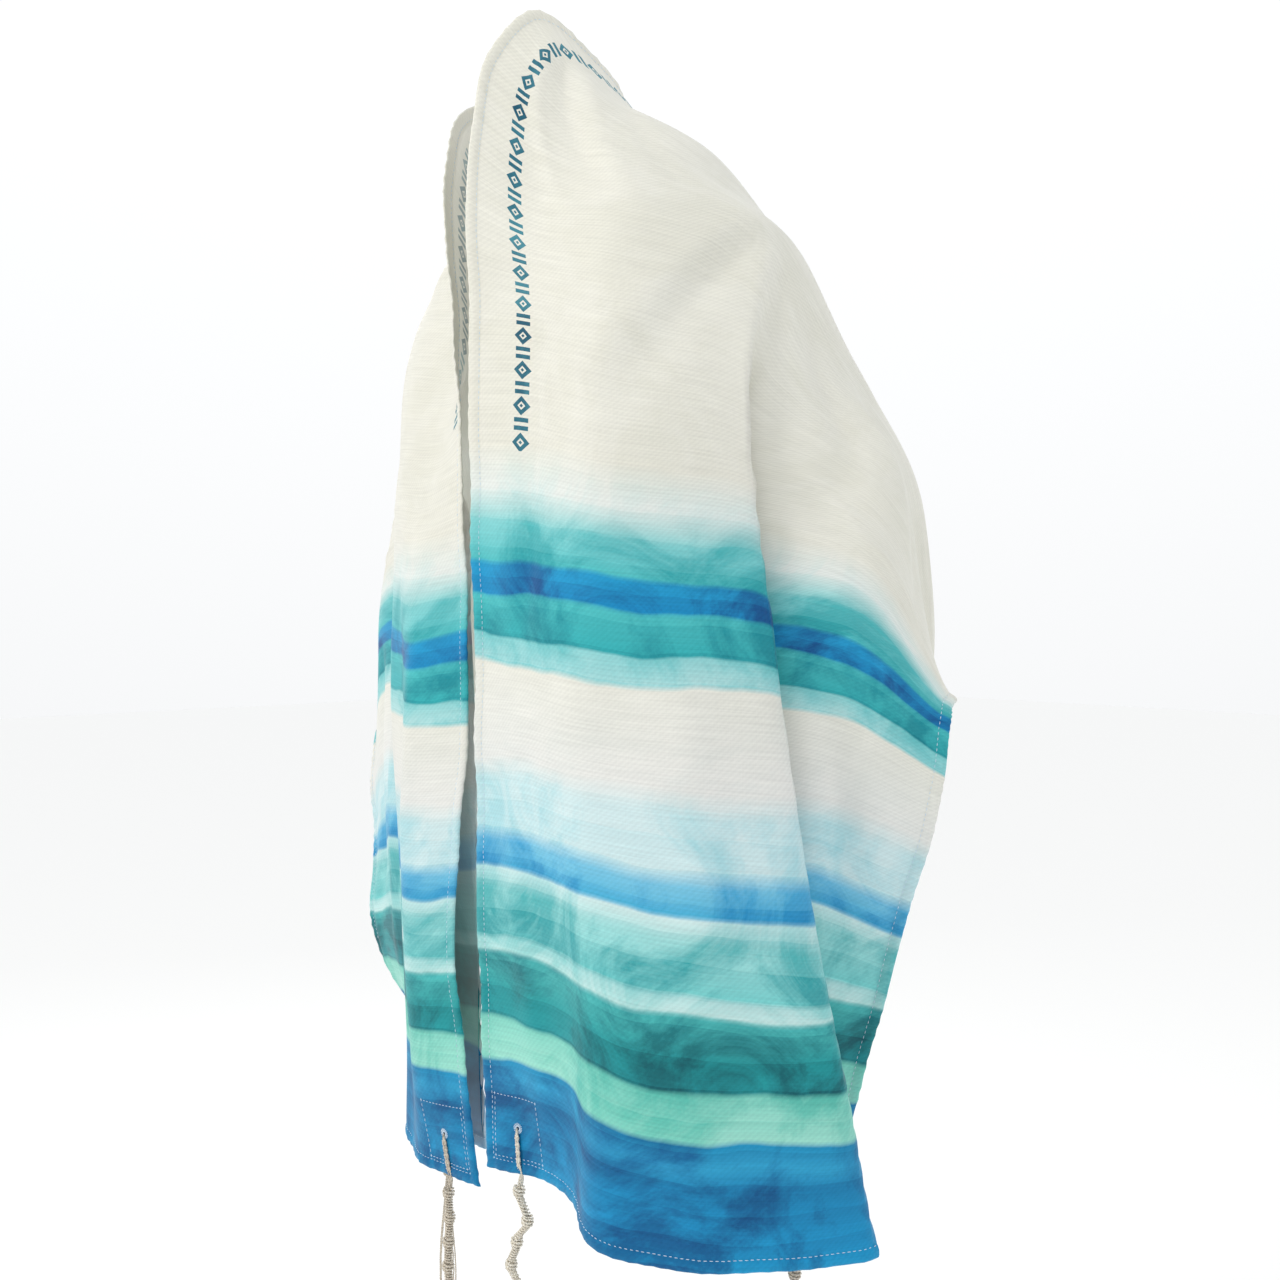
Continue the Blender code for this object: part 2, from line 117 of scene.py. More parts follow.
RIGHT = {
    "neck edge": (
        (0.06, -5.4, 1.4, 4.2), (0.115, -6.6, -3.4, 4.6), (0.165, -5.2, -7.4, 2.0),
        (0.215, -3.4, -9.4, -2.6), (0.27, -2.0, -10.3, -8.0), (0.40, 0.3, -10.7, -20.6),
        (0.60, 1.7, -10.9, -40.0), (0.86, -0.2, -10.8, -64.0), (HALF, 1.9, -9.9, -79.0),
    ),
    "neck foot": (
        (0.06, -6.6, 4.4, -0.4), (0.115, -8.4, 0.2, 0.0), (0.165, -7.0, -3.2, -1.8),
        (0.215, -5.0, -5.2, -6.2), (0.27, -3.9, -6.5, -11.4), (0.33, -3.4, -7.6, -16.6),
        (0.40, -3.8, -9.4, -22.2), (0.48, -4.9, -11.0, -29.4), (0.60, -4.8, -11.8, -40.5),
        (HALF, -4.8, -10.9, -79.2),
    ),
    "chest": (
        (0.07, -8.0, 9.4, -6.2), (0.14, -13.0, 4.2, -4.4), (0.21, -13.4, -1.6, -6.5),
        (0.28, -12.0, -5.0, -12.0), (0.40, -10.6, -8.4, -22.0), (0.60, -9.8, -9.4, -40.0),
        (HALF, -8.6, -9.2, -79.0),
    ),
    "fold": (
        (0.08, -10.5, 12.8, -16.0), (0.17, -18.4, 8.4, -11.2), (0.25, -21.2, 2.4, -9.8),
        (0.33, -19.6, -2.2, -15.6), (0.42, -16.2, -4.6, -23.5), (0.60, -14.0, -6.6, -39.5),
        (HALF, -11.2, -6.9, -78.4),
    ),
    "tuck": (
        (0.09, -11.6, 14.2, -25.0), (0.19, -20.4, 11.2, -20.0), (0.28, -22.6, 5.0, -19.0),
        (0.35, -21.0, 0.6, -21.0), (0.43, -13.6, -1.4, -26.0), (0.60, -6.4, -5.6, -39.0),
        (HALF, -2.6, -6.6, -78.0),
    ),
    "side": (
        (0.10, -13.0, 15.4, -34.0), (0.20, -22.0, 13.8, -29.5), (0.30, -27.2, 8.4, -25.0),
        (0.38, -29.2, 3.2, -27.0), (0.46, -29.0, 1.4, -31.0), (0.60, -25.4, -1.4, -39.5),
        (HALF, -17.6, -2.4, -79.0),
    ),
    "outer edge": (
        (0.10, -11.0, 16.0, -48.0), (0.20, -18.0, 16.2, -45.5), (0.30, -24.4, 15.4, -44.5),
        (0.40, -29.4, 12.6, -44.5), (0.50, -32.4, 7.4, -45.0), (0.60, -32.8, 3.8, -47.0),
        (0.80, -32.8, 2.8, -61.0), (0.88, -32.4, 2.6, -67.5), (HALF, -24.4, 7.2, -79.5),
    ),
}
MIDDLE = {
    "neck edge": (3.2, 2.8), "neck foot": (6.4, -1.6), "chest": (10.8, -8.0),
    "fold": (13.6, -17.0), "tuck": (14.6, -26.0), "side": (15.0, -36.0),
    "outer edge": (15.2, -50.0),
}
GUIDES = tuple(MIDDLE)
BENDS = {"fold": (0.030, 0.014), "tuck": (0.034, 0.024)}
BEND_STARTS, BEND_CLOSED = 0.25, 0.55
PIECES = len(GUIDES) - 1 + len(BENDS)
FLUTES = (
    (-0.370, 0.060, 0.020), (-0.225, 0.075, 0.034), (-0.075, 0.070, 0.028),
    (0.085, 0.075, 0.032), (0.225, 0.065, 0.024),
)
FLUTE_TOP = 0.30
FACING_ALONG, FACING_ACROSS = 0.002, 0.02
FINE_PLACES = np.linspace(0, PIECES, 161)

# Creases laid on that form. Rows: from along, across, to along, across (m, across is counted
# from the neck edge), half widths at both ends and height in mm, below 0 for a trough.
CREASES = (
    # fan under the left side of the neck
    (0.165, 0.030, 0.300, 0.088, 5, 9, 2.6), (0.155, 0.044, 0.265, 0.112, 6, 12, -3.0),
    (0.145, 0.062, 0.290, 0.152, 6, 13, 2.4), (0.150, 0.090, 0.250, 0.180, 7, 12, -1.8),
    # from the left shoulder down the chest and beside the fold
    (0.262, 0.238, 0.470, 0.130, 10, 24, -3.6), (0.262, 0.222, 0.420, 0.120, 9, 18, 1.8),
    (0.270, 0.262, 0.560, 0.270, 12, 9, -4.5), (0.275, 0.245, 0.540, 0.245, 9, 12, 1.6),
    # left front, down to the hem
    (0.380, 0.062, 0.640, 0.060, 9, 12, -3.0), (0.600, 0.188, 1.000, 0.232, 16, 26, 4.2),
    (0.620, 0.140, 0.960, 0.160, 16, 22, -3.0), (0.700, 0.050, 1.010, 0.062, 12, 18, 2.8),
    (0.760, 0.105, 1.010, 0.105, 14, 18, -2.2), (0.723, 0.085, 0.731, 0.114, 3, 3, 0.8),
    (0.731, 0.114, 0.703, 0.171, 3, 4, 0.9),
    # left arm: pulled from the shoulder to the elbow, slack below it
    (0.265, 0.300, 0.470, 0.430, 13, 24, -4.0), (0.260, 0.345, 0.430, 0.480, 10, 18, 2.6),
    (0.300, 0.420, 0.480, 0.560, 12, 18, -2.6), (0.424, 0.370, 0.474, 0.460, 6, 8, 1.7),
    (0.474, 0.455, 0.468, 0.540, 7, 8, 1.6), (0.450, 0.380, 0.520, 0.500, 8, 12, -2.0),
    (0.600, 0.500, 0.830, 0.575, 13, 18, -4.4), (0.640, 0.450, 0.900, 0.520, 12, 16, 3.2),
    (0.540, 0.480, 0.640, 0.590, 8, 12, 2.6),
    # right side, the same kinds of crease
    (-0.160, 0.034, -0.290, 0.088, 5, 9, 2.4), (-0.150, 0.050, -0.250, 0.115, 6, 11, -2.6),
    (-0.140, 0.070, -0.270, 0.150, 7, 12, 2.0), (-0.262, 0.235, -0.450, 0.140, 10, 20, -3.2),
    (-0.270, 0.258, -0.520, 0.262, 11, 9, -3.6), (-0.425, 0.110, -0.456, 0.018, 5, 7, 2.2),
    (-0.455, 0.115, -0.482, 0.025, 6, 7, -2.0), (-0.480, 0.120, -0.510, 0.040, 6, 8, 1.4),
    (-0.560, 0.060, -1.000, 0.066, 11, 18, 3.0), (-0.620, 0.115, -1.000, 0.120, 12, 17, -2.6),
    (-0.270, 0.300, -0.460, 0.425, 13, 22, -3.6), (-0.270, 0.350, -0.430, 0.485, 10, 17, 2.4),
    (-0.320, 0.430, -0.500, 0.555, 11, 17, -2.8), (-0.600, 0.490, -0.850, 0.560, 12, 18, -4.0),
    (-0.660, 0.440, -0.920, 0.500, 12, 16, 3.0), (-0.780, 0.570, -0.960, 0.590, 9, 13, 2.4),
    # back, from the neck between the flutes
    (0.020, 0.030, 0.055, 0.300, 8, 20, -4.4), (-0.050, 0.035, -0.105, 0.330, 8, 18, 4.2),
    (0.095, 0.080, 0.165, 0.420, 10, 20, -4.8), (-0.125, 0.090, -0.195, 0.450, 10, 20, -5.0),
    (0.000, 0.330, 0.012, 0.600, 14, 20, 4.6), (-0.080, 0.020, 0.070, 0.022, 5, 5, -1.6),
    (0.150, 0.360, 0.155, 0.600, 13, 17, 4.0), (-0.280, 0.360, -0.300, 0.600, 13, 18, 4.0),
    (0.060, 0.120, -0.060, 0.210, 9, 9, -2.4), (0.110, 0.250, -0.020, 0.330, 8, 10, 2.0),
    # marks of how it was folded away, across and along
    (0.478, 0.070, 0.450, 0.262, 3, 3, 0.9), (0.450, 0.290, 0.456, 0.600, 3, 3, 0.7),
    (-0.470, 0.020, -0.470, 0.600, 3, 3, 0.7), (0.000, 0.030, 0.000, 0.600, 3, 3, 0.8),
)
CREASE_MEANDER = 0.16  # sideways swing, as a share of the half width there
CREASE_SWINGS, CREASE_PHASE = 7, 40
CREASE_RISE, CREASE_FADE = (-0.12, 0.22), (0.72, 1.12)  # shares of its length
CREASE_LIFT = 1.25  # all creases, against the heights in the table
# Long soft waves. Rows: waves per m along and across, phase, height in mm.
WAVES = (
    (1.3, 5.2, 0.4, 1.2), (2.1, 3.1, 2.2, 0.9), (-1.7, 7.3, 4.1, 0.7), (3.7, 2.3, 1.1, 0.5),
    (5.3, -4.7, 3.3, 0.3),
)
EDGE_CURL, EDGE_CURL_REACH = 0.0022, 0.007
EDGE_WAVES = ((0.118, 0.0034), (0.071, 0.0016))  # length and height, m
EDGE_WAVES_REACH, LONG_EDGE_WAVES = 0.060, 0.25
END_PHASE, LONG_EDGE_PHASE, LONG_EDGE_DRIFT = 0.8, 2.1, 9
PUCKER_STEP, PUCKER_HEIGHT, PUCKER_REACH = 0.0125, 0.00055, 0.011
UNEVEN, UNEVEN_ALONG, UNEVEN_ACROSS = 1.9, 31, 37  # puckers stand unevenly apart

# Corner squares and fringes, placed as the solids have them, in m
PATCH_SIZE, PATCH_INSET, PATCH_WALL = 0.050, 0.009, 0.0007
PATCH_ROWS = (0, 0.8, 3, 5, *range(9, 42, 4), 45, 47, 49.2, 50)  # mm in from its side
PATCH_PUFF, PATCH_PUFF_REACH, PATCH_CLEAR = 0.0005, 0.004, 0.0002
EYELET_IN = PATCH_INSET + PATCH_SIZE / 2
EYELET_HOLE, EYELET_RING, EYELET_THREADS = 0.0020, 0.0034, 18
ON_FACE = (1.0, 0.6, 0.2)
DROP_TO_KNOT, FRINGE_CLEAR, UNDER_HEM = 0.012, 0.0004, 0.003
KNOTS, KNOT_PITCH, KNOT_LENGTH, KNOT_SWAY_TURN = 5, 0.019, 0.007, 1.7
STRINGS, STRING_LENGTH = 8, 0.165
# The wool is drawn a little thicker than it is, so that its plies show.
STRAND_RADIUS, BUNDLE_RADIUS, WRAP_RADIUS, KNOT_WRAP_RADIUS = 0.00078, 0.0014, 0.0027, 0.0041
PLIES, PLY_HOLLOW, PLY_TOP = 3, 0.62, 1.08  # of the strand's radius
THREE_PLY = {"Ring step": 0.0013, "Lay": 0.0065}
WRAPS_BETWEEN, KNOT_WRAPS, WRAP_POINTS, WRAP_RISE = 6, 3, 14, 0.12
KNOT_ENDS, KNOT_SWELL, KNOT_ROUND, KNOT_THREAD, CORE_POINTS = 0.7, 0.3, 0.25, 1.25, 9
# Threads twist in pairs over the hem. Distances are shares of the strand's radius.
PAIR_TWISTS, PAIR_APART, PAIR_SWING, PAIR_LIFT, PAIR_POINTS = 2.5, 1.3, 0.8, 0.5, 18
PAIR_SPREADS = (0.0, 0.25)
# Loose ends: lengths as shares, turn aside in rad, then drift, bend and kinks in m
LOOSE_LENGTHS, LOOSE_TURNS, LOOSE_DRIFTS = (0.93, 1.0), (-0.5, 0.5), (0.004, 0.0105)
LOOSE_BEND, LOOSE_BENDS, LOOSE_POINTS, DRIFT_POWER = 0.0022, 1.4, 48, 0.8
KINK_HEIGHT, KINKS, KINK_SHARE, ANY_PHASE = 0.0007, (9, 13), (0.4, 0.6), (0, 6.28)
TIP_SHARES = (0.95, 0.85, 0.5)
FIRST_SEED = 11
# Rows of stitches: how many points guide them, where they lie, and their sizes in m
HEMS, LONG_ROW_POINTS, SHORT_ROW_POINTS, SQUARE_POINTS = 4, 420, 130, 24
PATCH_STITCHES, PATCH_STITCH_LIFT, ON_TOP = 0.002, 0.0006, 0.0001
LOCKSTITCH = {"Stitch": 0.0026, "Gap": 0.0012, "Thread": 0.0005}
WHIPPING = {"Stitch": 0.0016, "Gap": 0.0, "Thread": 0.0008}
BEAD_SIDES, BEAD_RINGS = 6, 4
# Rows: name, end of the cloth (+1 left), at the outer edge, sway of the knotted run, wool
# all four fringes are the same cream wool; the three that hang in shade get a darker copy of it,
# painted shade
FRINGES = (
    ("left_front", 1, False, 0.010, "cream"),
    ("left_outer", 1, True, 0.003, "shaded_cream"),
    ("right_front", -1, False, 0.001, "shaded_cream"),
    ("right_outer", -1, True, 0.004, "shaded_cream"),
)

# The dyed stripes. Rows: distance from the end in cm, then the thin and the thick wash.
STRIPES = (
    (0.0, "#1AA6DC", "#045690"), (5.6, "#1690C4", "#054E86"), (6.9, "#36B2DE", "#086AA4"),
    (8.2, "#1C9CCC", "#06588E"), (8.4, "#AEECDC", "#66CCBC"), (11.3, "#98E4D4", "#52BEB0"),
    (11.5, "#24A6AC", "#065560"), (13.4, "#22A8AC", "#04525E"), (16.2, "#5ACCCA", "#0A7E88"),
    (16.4, "#DAF5F3", "#96DAD8"), (17.4, "#CBF0EF", "#84D2D2"), (17.6, "#86E0DE", "#0C949E"),
    (20.8, "#B4ECEA", "#34B2B6"), (22.4, "#E0F5F4", "#ACE2E4"), (22.6, "#52C2E8", "#0886C2"),
    (24.4, "#8AD4EE", "#32A4D8"), (25.4, "#DCF3F6", "#A2DCE6"), (28.6, "#E2F5F7", "#B2E2E9"),
    (30.4, "#F3F3EF", "#E9ECE9"), (36.6, "#F3F3EA", "#ECECE2"), (36.9, "#C2EBEB", "#7ED0D4"),
    (38.6, "#A6E3E4", "#5AC2C6"), (38.8, "#38BCC2", "#067E8E"), (41.6, "#58CDCF", "#1098A6"),
    (41.8, "#149CD6", "#043C82"), (43.8, "#24AADC", "#055C9A"), (44.0, "#5ED0D3", "#169EA8"),
    (46.6, "#98E0E1", "#48BABE"), (49.0, "#F1F5F1", "#D8EEEC"), (52.0, "#F3F2E8", "#ECEBDF"),
)
STRIPES_REACH, DYE_SWAY = 0.52, 0.016
LAYER_PITCH = 0.0195  # the dye was laid on in level strips, each with a firm upper edge
CLOUD_EDGES, GRAIN_SHARE, LAYER_SHARE = (0.425, 0.585), 0.20, 0.20
# The band of small figures beside the neck edge, in m
BAND_AT, BAND_LEAN, BAND_MIDDLE, BAND_HALF_LENGTH = 0.033, 0.030, 0.045, 0.455
FIGURE_PITCH = 0.013
LOZENGE = (0.0070, 0.0074)  # half its length and half its width
LOZENGE_RING, LOZENGE_SEED = (0.72, 0.28), 0.20  # middle and half width; the small one
BARS = (0.0101, 0.0016, 0.0060)  # place in the pitch, half thickness and half height
INK = ((0.0, "#4A93A3"), (1.0, "#1D5D76"))
# the cloth is not cut at the eyelets, so a dark navy spot is painted there as the shade seen through
# each hole; the other colour is the undyed white of the reverse
PAINTED_HOLE_SHADE, UNDYED = "#12324F", "#EEECE6"
# What the height of the weave does. Rows: from low, high, to low, high. The colour is scaled down
# where the weave lies low: partly the slubs' own paler tone, partly painted shade in the hollows
# between threads.
WEAVE_PAINTED_SHADE, WEAVE_ROUGHNESS = (0.30, 0.72, 0.765, 0.915), (0.3, 0.7, 0.58, 0.46)

MATH, MIX, NOISE = "ShaderNodeMath", "ShaderNodeMix", "ShaderNodeTexNoise"


def at_mm(value):
    return value / 1000


def linear(hex_colour):
    """An sRGB hex colour as linear RGBA."""
    parts = [int(hex_colour[i:i + 2], 16) / 255 for i in (1, 3, 5)]
    return tuple(p / 12.92 if p <= 0.04045 else ((p + 0.055) / 1.055) ** 2.4 for p in parts) + (1.0,)


def ease(value, start, end):
    """0 before start, 1 after end, with a soft step between."""
    share = np.clip((value - start) / (end - start), 0.0, 1.0)
    return share * share * (3 - 2 * share)


# The form of the cloth

def smooth_line(knots, points, at):
    """Points of a smooth curve through the given points, whose knots may be uneven."""
    step = np.diff(knots)[:, None]
    slope = np.diff(points, axis=0) / step
    tangent = np.empty_like(points)
    tangent[0], tangent[-1] = slope[0], slope[-1]
    tangent[1:-1] = (slope[:-1] * step[1:] + slope[1:] * step[:-1]) / (step[:-1] + step[1:])
    piece = np.clip(np.searchsorted(knots, at, side="right") - 1, 0, len(knots) - 2)
    span = step[piece]
    u = (at[:, None] - knots[piece][:, None]) / span
    return (
        (2 * u**3 - 3 * u**2 + 1) * points[piece]
        + (u**3 - 2 * u**2 + u) * span * tangent[piece]
        + (3 * u**2 - 2 * u**3) * points[piece + 1]
        + (u**3 - u**2) * span * tangent[piece + 1]
    )


def guide_table(name):
    """The whole guide line from the right end to the left end: knots and points in m."""
    y, z = MIDDLE[name]
    right = [(-along, *place) for along, *place in reversed(RIGHT[name])]
    rows = np.array([*right, (0.0, 0.0, y, z), *LEFT[name]], float)
    return rows[:, 0], rows[:, 1:] / 100


GUIDE_LINES = {name: guide_table(name) for name in GUIDES}


def section(along):
    """One thread across the cloth: the knots and points that it passes, neck edge first."""
    here = [smooth_line(*GUIDE_LINES[name], np.array([along]))[0] for name in GUIDES]
    closed = ease(abs(along), BEND_STARTS, BEND_CLOSED)
    points = []
    for i, name in enumerate(GUIDES):
        if name not in BENDS:
            points.append(here[i])
            continue
        wide, narrow = BENDS[name]
        across = here[i + 1] - here[i - 1]
        half = across / np.linalg.norm(across) * (wide + (narrow - wide) * closed) / 2
        points += [here[i] - half, here[i] + half]
    points = np.array(points)
    spacing = np.sqrt(np.linalg.norm(np.diff(points, axis=0), axis=1))
    return np.concatenate([[0.0], np.cumsum(spacing)]), points


def run_along(points):
    """Distance of each point from the first, along the line through them."""
    return np.concatenate([[0.0], np.cumsum(np.linalg.norm(np.diff(points, axis=0), axis=1))])


def flute_depth(along):
    """How deep the flutes are that cross this thread."""
    depth = 0.0
    for place, half_width, full_depth in FLUTES:
        off = abs(along - place) / half_width
        if off < 1:
            depth += full_depth * math.cos(off * math.pi / 2) ** 2
    return depth


def thread(along, places):
    """Points of one thread across the cloth. Places count the pieces between guide points."""
    knots, points = section(along)
    piece = np.arange(len(knots))
    line = smooth_line(knots, points, np.interp(places, piece, knots))
    depth = flute_depth(along)
    if depth == 0:
        return line
    run = run_along(smooth_line(knots, points, np.interp(FINE_PLACES, piece, knots)))
    share = np.interp(places, FINE_PLACES, run / run[-1])
    out = line * (1, 1, 0)
    out /= np.linalg.norm(out, axis=1)[:, None]
    return line + out * (depth * ease(share, FLUTE_TOP, 1.0))[:, None]


def relief(along, across):
    """How far creases, waves and curled edges stand out from the worn form, in m."""
    height = np.zeros(np.broadcast(along, across).shape)
    for a0, c0, a1, c1, w0, w1, tall in CREASES:
        run = np.array([a1 - a0, c1 - c0])
        length = np.linalg.norm(run)
        off_a, off_c = along - a0, across - c0
        t = (off_a * run[0] + off_c * run[1]) / length**2
        sideways = (off_a * run[1] - off_c * run[0]) / length
        half = at_mm(w0 + (w1 - w0) * np.clip(t, 0, 1))
        swing = np.sin(CREASE_SWINGS * t + CREASE_PHASE * a0)
        sideways = sideways + CREASE_MEANDER * half * swing
        shape = np.exp(-(sideways / half) ** 2) * ease(t, *CREASE_RISE)
        shape = shape * (1 - ease(t, *CREASE_FADE))
        height = height + CREASE_LIFT * at_mm(tall) * shape
    for per_along, per_across, phase, tall in WAVES:
        height = height + at_mm(tall) * np.sin(
            2 * math.pi * (per_along * along + per_across * across) + phase)
    edge = np.minimum(across, CLOTH_WIDTH - across)
    end = HALF - np.abs(along)
    height = height + EDGE_CURL * np.exp(-(edge / EDGE_CURL_REACH) ** 2)
    by_end = np.exp(-(end / EDGE_WAVES_REACH) ** 2)
    by_edge = np.exp(-(edge / EDGE_WAVES_REACH) ** 2)
    for length, tall in EDGE_WAVES:
        turn = 2 * math.pi / length
        height = height + tall * by_end * np.sin(turn * across + END_PHASE)
        height = height + LONG_EDGE_WAVES * tall * by_edge * np.sin(
            turn * along + LONG_EDGE_PHASE + LONG_EDGE_DRIFT * across)
    turn = 2 * math.pi / PUCKER_STEP
    height = height + PUCKER_HEIGHT * np.exp(-edge / PUCKER_REACH) * np.sin(
        turn * along + UNEVEN * np.sin(UNEVEN_ALONG * along))
    return height + PUCKER_HEIGHT * np.exp(-end / PUCKER_REACH) * np.sin(
        turn * across + UNEVEN * np.sin(UNEVEN_ACROSS * across))


def cloth_thread(along, acrosses):
    """Points of one thread at true distances from the neck edge, and where its face looks."""
    run = run_along(thread(along, FINE_PLACES))
    wanted = np.interp(
        acrosses, [0, EDGE_BAND, CLOTH_WIDTH - EDGE_BAND, CLOTH_WIDTH],
        [0, EDGE_BAND, run[-1] - EDGE_BAND, run[-1]])
    places = np.interp(wanted, run, FINE_PLACES)
    down = thread(along - FACING_ALONG, places) - thread(along + FACING_ALONG, places)
    over = thread(along, np.minimum(places + FACING_ACROSS, PIECES))
    over -= thread(along, np.maximum(places - FACING_ACROSS, 0))
    facing = np.cross(over, down)
    facing /= np.linalg.norm(facing, axis=1)[:, None]
    return thread(along, places) + facing * relief(along, acrosses)[:, None], facing


def cloth_grid(alongs, acrosses):
    """Rows of points on the middle of the cloth, and the directions that its face looks in."""
    acrosses = np.asarray(acrosses, float)
    both = np.array([cloth_thread(along, acrosses) for along in alongs])
    return both[:, 0], both[:, 1]


def to_edge(alongs, acrosses):
    """Distance from each place of a grid to the nearest of the four edges."""
    alongs, acrosses = np.asarray(alongs)[:, None], np.asarray(acrosses)[None, :]
    return np.minimum(HALF - np.abs(alongs), np.minimum(acrosses, CLOTH_WIDTH - acrosses))


def spaced(length, step):
    """Places from 0 to length, close together where a hem is turned at either side."""
    middle = np.linspace(HEM + HEM_CLEAR, length - HEM - HEM_CLEAR, round(length / step))
    return np.array([*HEM_ROWS, *middle, *[length - row for row in reversed(HEM_ROWS)]])


# Meshes and materials

def new_object(name, verts, faces, edges=()):
    mesh = bpy.data.meshes.new(name)
    mesh.from_pydata([tuple(v) for v in verts], edges, faces)
    mesh.update()
    made = bpy.data.objects.new(name, mesh)
    bpy.context.scene.collection.objects.link(made)
    return made


def add_node(tree, kind, inputs=(), out=0, stops=(), **settings):
    """Adds a node with its settings, values and links, and returns one of its outputs.

    Inputs are a row of values in socket order, or a table by socket. Stops are the rows of a
    colour ramp: place and hex colour.
    """
    node = tree.nodes.new(kind)
    for name, value in settings.items():
        setattr(node, name, value)
    for i, (at, hex_colour) in enumerate(stops):
        ramp = node.color_ramp.elements
        stop = ramp[i] if i < len(ramp) else ramp.new(at)
        stop.position, stop.color = at, linear(hex_colour)
    for key, value in (inputs.items() if isinstance(inputs, dict) else enumerate(inputs)):
        if isinstance(value, bpy.types.NodeSocket):
            tree.links.new(value, node.inputs[key])
        else:
            node.inputs[key].default_value = value
    return node.outputs[out] if out is not None else node


def new_material(name, roughness, gleam, sheen, sheen_roughness, glow=0.0):
    """A material with a Principled shader for cloth or wool, and its node tree."""
    made = bpy.data.materials.new(name)
    made.use_nodes = True
    shader = made.node_tree.nodes["Principled BSDF"]
    shader.inputs["Metallic"].default_value = 0.0
    shader.inputs["IOR"].default_value = 1.5
    shader.inputs["Roughness"].default_value = roughness
    shader.inputs["Specular IOR Level"].default_value = gleam
    shader.inputs["Sheen Weight"].default_value = sheen
    shader.inputs["Sheen Roughness"].default_value = sheen_roughness
    shader.inputs["Subsurface Weight"].default_value = glow
    shader.inputs["Subsurface Scale"].default_value = GLOW_DEPTH
    shader.inputs["Subsurface Radius"].default_value = (1.0, 1.0, 1.0)
    return made, made.node_tree, shader


def stripe_stops(column):
    """Colour ramp rows of the stripes, for one wash."""
    return [(row[0] / 100 / STRIPES_REACH, row[column]) for row in STRIPES]


def figure_band(add, across, along):
    """Where figures are printed beside the neck edge: a lozenge round a small one, then bars."""
    x = add(MATH, [along, FIGURE_PITCH], operation="PINGPONG")
    band_at = add(MATH, [along, BAND_LEAN, BAND_AT], operation="MULTIPLY_ADD")
    y = add(MATH, [across, band_at], operation="SUBTRACT")
    y = add(MATH, [y], operation="ABSOLUTE")
    x_share = add(MATH, [x, LOZENGE[0]], operation="DIVIDE")
    y_share = add(MATH, [y, LOZENGE[1]], operation="DIVIDE")
    size = add(MATH, [x_share, y_share], operation="ADD")
    ring = add(MATH, [size, *LOZENGE_RING], operation="COMPARE")
    seed = add(MATH, [size, LOZENGE_SEED], operation="LESS_THAN")
    bar = add(MATH, [x, BARS[0], BARS[1]], operation="COMPARE")
    low = add(MATH, [y, BARS[2]], operation="LESS_THAN")
    bar = add(MATH, [bar, low], operation="MULTIPLY")
    figures = add(MATH, [ring, seed], operation="MAXIMUM")
    figures = add(MATH, [figures, bar], operation="MAXIMUM")
    in_band = add(MATH, [along, BAND_MIDDLE, BAND_HALF_LENGTH], operation="COMPARE")
    return add(MATH, [figures, in_band], operation="MULTIPLY")


def plain_weave(add, places):
    """Height of the threads. Slubs run across the cloth, 1 to 2 mm high and 3 to 8 cm long."""
    slub_at = add("ShaderNodeVectorMath", [places, (22.0, 720.0, 1.0)], operation="MULTIPLY")
    slubs = add(NOISE, {"Vector": slub_at, "Scale": 1.0, "Detail": 3.0})
    warp_at = add("ShaderNodeVectorMath", [places, (950.0, 60.0, 1.0)], operation="MULTIPLY")
    warps = add(NOISE, {"Vector": warp_at, "Scale": 1.0, "Detail": 1.0})
    # the real threads are 0.4 mm apart; the ribs are drawn 3 mm apart, so that they show
    ribs = add("ShaderNodeTexWave", {"Vector": places, "Scale": 150.0, "Distortion": 0.6}, out=1,
               wave_type="BANDS", bands_direction="DIAGONAL")
    rib_share, fine_share = 0.42, 0.30
    fine = add(MIX, {0: rib_share, 2: warps, 3: ribs})
    return add(MIX, {0: fine_share, 2: slubs, 3: fine})


def painted_hole_shade_spots(add, across, from_end):
    """Where a dark spot is painted at each of the four eyelets, as the shade seen through a hole;
    the cloth is not cut there.
    """
    middle = CLOTH_WIDTH / 2
    off_across = add(MATH, [across, middle], operation="SUBTRACT")
    off_across = add(MATH, [off_across], operation="ABSOLUTE")
    off_across = add(MATH, [off_across, middle - EYELET_IN], operation="SUBTRACT")
    off_along = add(MATH, [from_end, EYELET_IN], operation="SUBTRACT")
    off = add("ShaderNodeCombineXYZ", [off_across, off_along])
    away = add("ShaderNodeVectorMath", [off], out=1, operation="LENGTH")
    return add(MATH, [away, EYELET_HOLE], operation="LESS_THAN")


